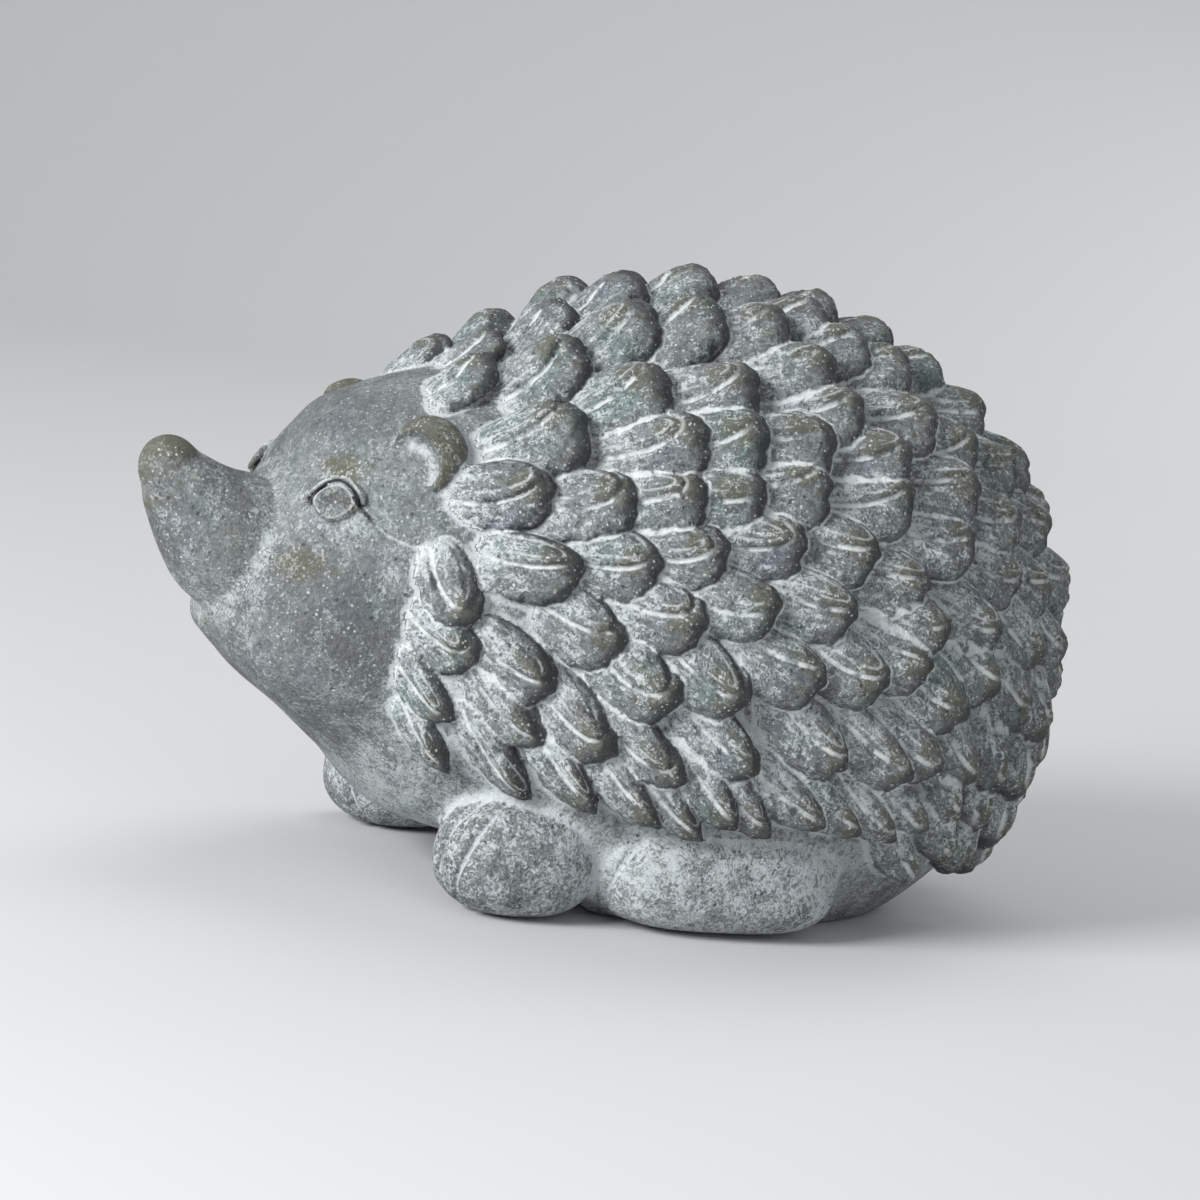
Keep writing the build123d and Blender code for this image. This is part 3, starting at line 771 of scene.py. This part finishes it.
def washed_stone(name, base, wash, rub, mottle, cloud, quilled=False):
    """Cast stone under a white wash that stays in the hollows and is rubbed off the high places."""
    material = bpy.data.materials.new(name)
    material.use_nodes = True
    tree = material.node_tree
    tree.nodes.clear()
    place = add_node(tree, "TexCoord").outputs["Object"]

    def noise(size_mm, detail=3.0, rough=0.6, swirl=0.0):
        return add_node(tree, "TexNoise", None, Vector=place, Scale=1000 / size_mm, Detail=detail,
                        Roughness=rough, Distortion=swirl).outputs["Fac"]

    def dots(apart_mm):
        return add_node(tree, "TexVoronoi", {"feature": "F1"}, Vector=place,
                        Scale=1000 / apart_mm).outputs["Distance"]

    def read(attribute):
        return add_node(tree, "Attribute", {"attribute_name": attribute}).outputs["Fac"]

    def scaled(value, low, high, to_low=0.0, to_high=1.0):
        return add_node(tree, "MapRange", {"clamp": True}, Value=value, From_Min=low, From_Max=high,
                        To_Min=to_low, To_Max=to_high).outputs["Result"]

    def maths(kind, one, other):
        return add_node(tree, "Math", {"operation": kind}, i0=one, i1=other).outputs[0]

    def product(one, other):
        return maths("MULTIPLY", one, other)

    def frayed(value, pattern, amount):
        return maths("ADD", value, product(maths("SUBTRACT", pattern, 0.5), amount))

    def coat_over(ground, share, code):
        node = add_node(tree, "Mix", {"data_type": "RGBA"}, i0=share, i6=ground, i7=colour(code))
        return node.outputs[2]

    def line(distance, width):
        return scaled(maths("ABSOLUTE", distance, 0.0), width * 0.4, width, 1.0, 0.0)

    # Stone: cool grey with green and violet clouds some centimetres across
    tone_shift = product(read("tone"), 0.05)
    ground = coat_over(colour(base), scaled(noise(24), 0.40, 0.62), "#7F8484")
    green = scaled(maths("ADD", noise(15), tone_shift), 0.52, 0.66)
    ground = coat_over(ground, product(green, cloud), "#66807C")
    violet = scaled(maths("SUBTRACT", noise(13), tone_shift), 0.54, 0.68)
    ground = coat_over(ground, product(violet, cloud * 0.6), "#6F7088")
    # Dark mottling where the wash never reached
    bare = maths("SUBTRACT", noise(1.5, 4.0, 0.72, 0.8), product(read("dust_and_painted_light"), 0.5))
    ground = coat_over(ground, product(scaled(bare, 0.46, 0.60), mottle), "#3A3F43")
    # Rubbed peaks: the olive brown of the stone where hands and cloth wore the wash away
    worn = scaled(frayed(read("rub"), noise(2.6, 4.0), 1.3), 0.45, 0.95)
    ground = coat_over(ground, product(worn, rub), "#565442")
    # White wash: thin and broken on open stone
    grain = noise(1.2, 3.0, 0.72, 1.1)
    open_wash = frayed(grain, noise(6.0, 3.0), 0.45)
    if quilled:
        # The brush dragged the wash along each quill, in streaks a millimetre wide
        across_quill, along_quill = product(read("side"), 1 / 1.1), product(read("way"), 1 / 6.0)
        drag = add_node(tree, "CombineXYZ", None, X=across_quill, Y=along_quill,
                        Z=product(read("tone"), 40.0))
        streak = add_node(tree, "TexNoise", None, Vector=drag.outputs[0], Scale=1.0, Detail=2.0,
                          Roughness=0.6)
        open_wash = frayed(open_wash, streak.outputs["Fac"], 0.45)
    # The wash is thickened low down as painted light from the floor and thinned towards the quills' ends as
    # partly painted shade
    open_wash = maths("ADD", open_wash, read("dust_and_painted_light"))
    ground = coat_over(ground, product(scaled(open_wash, 0.47, 0.64), wash), "#C2C8CA")
    # Wash packed into every hollow; on the quills also painted shade on the dark steep end, and the petals'
    # creases and seams drawn in white; elsewhere painted shade in the groove round the eye and the crease
    # behind it
    broken = product(maths("SUBTRACT", noise(1.7, 4.0, 0.7), 0.5), 1.6)
    packed = scaled(maths("ADD", read("hollow"), broken), 0.45, 0.95)
    if quilled:
        shaded_steep_end = scaled(frayed(read("painted_shade"), noise(2.0, 4.0), 1.2), 0.45, 0.95, 0.0, 0.72)
        ground = coat_over(ground, shaded_steep_end, "#313436")
        inner = maths("ADD", maths("ADD", read("crease"), 2.7), product(broken, 0.8))
        inner_line = product(product(line(inner, 0.6), 0.6), scaled(noise(7.0, 2.0), 0.46, 0.56))
        ground = coat_over(ground, product(maths("MAXIMUM", packed, inner_line), 0.85), "#C4C9CB")
        seam_line = line(maths("ADD", read("seam"), product(broken, 0.35)), 0.75)
        seam_line = product(seam_line, scaled(read("painted_shade"), 0.2, 1.0, 0.9, 0.35))
        crease_line = line(maths("ADD", read("crease"), product(broken, 0.5)), 0.75)
        crease_line = product(crease_line, scaled(noise(5.5, 2.0), 0.40, 0.52))
        crease_line = product(crease_line, scaled(read("painted_shade"), 0.0, 0.7, 1.0, 0.0))
        ground = coat_over(ground, maths("MAXIMUM", seam_line, product(crease_line, 0.85)), "#CFD3D3")
    else:
        ground = coat_over(ground, product(packed, 0.75), "#C4C9CB")
        ground = coat_over(ground, scaled(read("painted_shade"), 0.35, 0.9), "#222629")
    # Specks: grains of white sand, drawn half a millimetre across so that they show
    speck = scaled(frayed(dots(1.5), grain, 0.9), 0.10, 0.24, 1.0, 0.0)
    speck = product(speck, scaled(noise(4.0), 0.45, 0.55))
    ground = coat_over(ground, product(speck, 0.6), "#D8DBDB")
    # Relief: a sandy skin with pits about a millimetre wide, bumped in and darkened with painted shade
    shaded_pit = product(scaled(dots(2.3), 0.10, 0.26, 1.0, 0.0), scaled(noise(5.0), 0.48, 0.58))
    ground = coat_over(ground, product(shaded_pit, 0.6), "#3A3F42")
    relief = maths("ADD", product(grain, 0.40), product(noise(3.2, 3.0), 0.60))
    relief = maths("SUBTRACT", relief, product(shaded_pit, 0.35))
    bump = add_node(tree, "Bump", None, Height=relief, Strength=0.9, Distance=0.0011).outputs["Normal"]
    shader = add_node(tree, "BsdfPrincipled", None, Base_Color=ground, Normal=bump, Roughness=0.82,
                      Specular_IOR_Level=0.35)
    add_node(tree, "OutputMaterial", None, Surface=shader.outputs["BSDF"])
    return material


# The quills are the most clouded, with brushed wash; body and face are bare and thinly washed; the
# feet are the whitest; nose and eyeballs are dark and rubbed; the plug is plain stone.
finishes = {
    "coat": washed_stone("cast_stone_coat", "#757A7B", wash=0.85, rub=0.62, mottle=0.65, cloud=0.50,
                         quilled=True),
    "skin": washed_stone("cast_stone_skin", "#686B6C", wash=0.55, rub=0.80, mottle=0.50, cloud=0.16),
    "foot": washed_stone("cast_stone_foot", "#707476", wash=0.92, rub=0.40, mottle=0.75, cloud=0.15),
    "rubbed": washed_stone("cast_stone_rubbed", "#464845", wash=0.40, rub=0.70, mottle=0.55, cloud=0.10),
    "plug": washed_stone("cast_stone_plug", "#858989", wash=0.35, rub=0.0, mottle=0.20, cloud=0.10),
}
finish_of = {"core_shell": "skin", "head": "skin", "snout": "skin", "nose_tip": "rubbed", "eye": "rubbed",
             "eyelid": "skin", "ear": "skin", "front_foot": "foot", "hind_foot": "foot"}

# What each point of the skin belongs to and where it lies, for the marks that the finishes follow
names = np.array([form["node"] for form in forms])
point_owner = names[owner]
is_quill = along > before_quill / 2
is_eye = np.isin(point_owner, ("eye", "eyelid"))
is_foot = np.char.endswith(point_owner, "foot")
is_face = np.isin(point_owner, ("head", "snout"))
reach_of, height_of = -folded[:, 1], folded[:, 2]
low_down = np.clip((55 - height_of) / 35, 0, 1)
high_up = np.clip((height_of - 95) / 15, 0, 1)
near_nose = np.exp(-np.linalg.norm(folded - np.array(nose_centre), axis=1) / 11)
slit, above, _ = eye_frame(folded)


def patch(middle_along, middle_up, half_length, half_height):
    """A soft patch on the face, placed along the eye's slit and up its lid."""
    return np.exp(-((slit - middle_along) / half_length) ** 2 - ((above - middle_up) / half_height) ** 2)


def stroke(distance, half_width):
    """1 where a distance is nothing, fading out over a width."""
    return np.exp(-(distance / half_width) ** 2)


# Rubbed: the quills' peaks, brow and cheek, the ear's rim, the eyeball and the nose
brow, cheek = patch(0.5, 9.0, 9.5, 5.5), patch(5.5, -15.8, 10.0, 5.0)
rub_value = np.where(is_quill, proud, 0.95 * np.maximum(brow, cheek) * ~is_eye)
rub_value += np.where(point_owner == "ear", 0.32, 0) + np.where(point_owner == "eye", 0.25, 0)
rub_value += np.clip(-broad_hollow / 2.2, 0, 0.35) + np.clip(-fine_hollow / 0.4, 0, 0.25)
rub_value += np.where(is_quill, 0, 0.7 * near_nose)

# Packed: every hollow and the skin at the quills' roots, but only softly between face and snout
hollow_value = np.clip(fine_hollow / 0.30, 0, 1) * 0.55 + np.clip(broad_hollow / 3.5, 0, 0.35)
hollow_value += np.where(is_quill, -0.35 * hollow_value, np.exp(-seam / 3.5) * 0.22)
under_quill = ~is_quill & np.char.startswith(names[next_owner], "quill")
hollow_value += np.where(under_quill, stroke(seam, 1.1) * 0.8, 0)
in_valley = is_face * (reach_of > 112) * np.exp(-seam / 14)
hollow_value *= 1 - 0.9 * np.clip(in_valley * 1.6, 0, 1)

# The eye: painted shade in the groove round the almond and in the crease just behind it, wash on the rim
# inside it, and the lid's long line
eye_ring = np.hypot(slit / eye_half_length, above / (eye_half_height * almond_share(slit)))
eye_edge = np.where(reach_of > 100, (eye_ring - 1) * 5.0, far_from_eye)
tail_near = tail_distance(folded)
near_corner = np.clip((slit + 12.5) / 3, 0, 1)
painted_shade_value = stroke(eye_edge - 0.4, np.where(above > 0, 0.65, 0.4)) * np.where(above > 0, 1, 0.6)
painted_shade_value = np.maximum(painted_shade_value, stroke(tail_near - 0.2, 0.45) * near_corner * 0.9)
rim = stroke(eye_edge + 0.9, 0.45) * np.where(above > 0, 1.1, 0.8)
rim = np.maximum(rim, stroke(eye_edge - 1.7, 0.6) * np.clip(above / 3, 0, 1))
rim = np.maximum(rim, stroke(tail_near, 0.6) * (1 - near_corner) * 0.9)
hollow_value = np.maximum(hollow_value, rim * ~is_quill)
hollow_value += np.where(is_foot, np.clip(fine_hollow / 0.2, 0, 1) * 0.5, 0)

# Dusted: thick by the seams, thin on the crown, the cheek and the nose; the extra wash low down is painted
# light bounced up from the floor, and the wash thinning towards the quills' ends is partly painted shade
dust_and_painted_light_value = np.exp(-seam / 9) * 0.12 - 0.05 * patch(-10, -27, 14, 14) + 0.04 * in_valley - 0.09
dust_and_painted_light_value += 0.08 * low_down - 0.05 * high_up - 0.16 * near_nose
quill_dust_and_shade = 0.05 - 0.17 * np.clip((along - 0.25) / 0.7, 0, 1) + 0.04 * low_down
dust_and_painted_light_value = np.where(is_quill, quill_dust_and_shade, dust_and_painted_light_value)
dust_and_painted_light_value += np.where(point_owner == "front_foot", -0.02, 0) + np.where(point_owner == "hind_foot", 0.02, 0)

# Painted shade: each quill's end and its steep side towards the rump, and the seams towards the rear,
# darkened where they turn away from the light
from_coat = corners_mm - coat_centre
steep_back = normals[:, 1] - from_coat[:, 1] / np.linalg.norm(from_coat, axis=1)
shaded_quill_ends = np.maximum(np.clip((along - 0.80) / 0.16, 0, 1), np.clip((steep_back - 0.30) / 0.35, 0, 1))
rear_share = np.clip((corners_mm[:, 1] - 20) / 50, 0, 1)
shaded_quill_ends = np.maximum(shaded_quill_ends, 0.85 * rear_share * stroke(seam, 1.6))
painted_shade_value = np.where(is_quill, shaded_quill_ends, painted_shade_value)

face_owner = names[owner[quads[:, 0]]]
face_side = np.where(corners_mm[quads].mean(1)[:, 0] > 0, "left", "right")
paired = ("eye", "eyelid", "ear", "front_foot", "hind_foot")


def make_piece(node, chosen, finish):
    """One named piece of the casting's skin, with the marks that its finish follows."""
    used, renumbered = np.unique(quads[chosen], return_inverse=True)
    mesh = bpy.data.meshes.new(node)
    mesh.from_pydata((corners_mm[used] / 1000).tolist(), [], renumbered.reshape(-1, 4).tolist())
    # Painted shade on the quills' ends and round the eye goes to the finishes with the other marks
    # The wash mark also carries painted light from the floor low down and painted shade towards the quills'
    # ends
    marked = {"rub": rub_value, "hollow": hollow_value, "dust_and_painted_light": dust_and_painted_light_value, "painted_shade": painted_shade_value, "tone": tone,
              "seam": seam, "crease": crease, "side": side_mm, "way": along * quill_length}
    for label, values in marked.items():
        attribute = mesh.attributes.new(label, "FLOAT", "POINT")
        attribute.data.foreach_set("value", values[used].astype(np.float32))
    mesh.polygons.foreach_set("use_smooth", np.ones(len(mesh.polygons), bool))
    mesh.normals_split_custom_set_from_vertices(normals[used].tolist())
    mesh.materials.append(finishes[finish])
    piece = bpy.data.objects.new(f"cast_{node}", mesh)
    bpy.context.scene.collection.objects.link(piece)
    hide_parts(node)
    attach(piece, "root")


for form_name in dict.fromkeys(names):
    finish = finish_of.get(form_name, "coat")
    mine = face_owner == form_name
    if form_name in paired:
        for side in ("left", "right"):
            make_piece(f"{form_name}_{side}", mine & (face_side == side), finish)
    else:
        make_piece(form_name, mine, finish)
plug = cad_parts["base_plug"]
plug.data.materials.clear()
plug.data.materials.append(finishes["plug"])

# Stage: a sheet of pale paper that runs back from the animal and curves up behind it, and soft
# studio light from the upper left.
sweep_front, sweep_back, sweep_radius, sweep_top, sweep_half_width = -3.0, 1.1, 0.9, 3.0, 8.0
sweep_steps = 24
sweep_profile = [(sweep_front, 0.0)]
for step in range(sweep_steps + 1):
    turn = math.pi / 2 * step / sweep_steps
    sweep_profile.append((sweep_back + sweep_radius * math.sin(turn), sweep_radius * (1 - math.cos(turn))))
sweep_profile.append((sweep_back + sweep_radius, sweep_top))
away_from_lens = Vector((-sight_back.x, -sight_back.y, 0)).normalized()
paper_points = []
for ahead, height in sweep_profile:
    for side in (-1, 1):
        spot = away_from_lens * ahead + level * (sweep_half_width * side)
        paper_points.append((spot.x, spot.y, height))
paper_faces = [(2 * row, 2 * row + 1, 2 * row + 3, 2 * row + 2) for row in range(len(sweep_profile) - 1)]
floor_mesh = bpy.data.meshes.new("floor")
floor_mesh.from_pydata(paper_points, [], paper_faces)
floor_mesh.polygons.foreach_set("use_smooth", np.ones(len(paper_faces), bool))
floor = bpy.data.objects.new("floor", floor_mesh)
bpy.context.scene.collection.objects.link(floor)
paper = bpy.data.materials.new("pale_paper")
paper.use_nodes = True
paper.node_tree.nodes["Principled BSDF"].inputs["Base Color"].default_value = colour("#D2D3D4")
paper.node_tree.nodes["Principled BSDF"].inputs["Roughness"].default_value = 0.9
floor_mesh.materials.append(paper)

world = bpy.data.worlds.new("soft_room")
world.use_nodes = True
world.node_tree.nodes["Background"].inputs["Color"].default_value = colour("#E4E7EA")
world.node_tree.nodes["Background"].inputs["Strength"].default_value = 0.50
bpy.context.scene.world = world
lamp_aim = Vector((0, -0.02, 0.07))


def add_lamp(name, place, power, size):
    """A square soft box that looks at the animal."""
    lamp = bpy.data.lights.new(name, "AREA")
    lamp.energy = power
    lamp.size = size
    holder = bpy.data.objects.new(name, lamp)
    holder.location = place
    holder.rotation_euler = (lamp_aim - Vector(place)).to_track_quat("-Z", "Y").to_euler()
    bpy.context.scene.collection.objects.link(holder)


add_lamp("key_softbox", (0.48, -1.25, 0.64), power=24, size=0.50)
add_lamp("fill_softbox", (1.3, 0.2, 0.6), power=1.2, size=0.9)
add_lamp("top_softbox", (-0.5, 0.3, 1.4), power=4, size=0.8)
add_lamp("back_softbox", (-0.8, 1.3, 0.8), power=7, size=0.9)
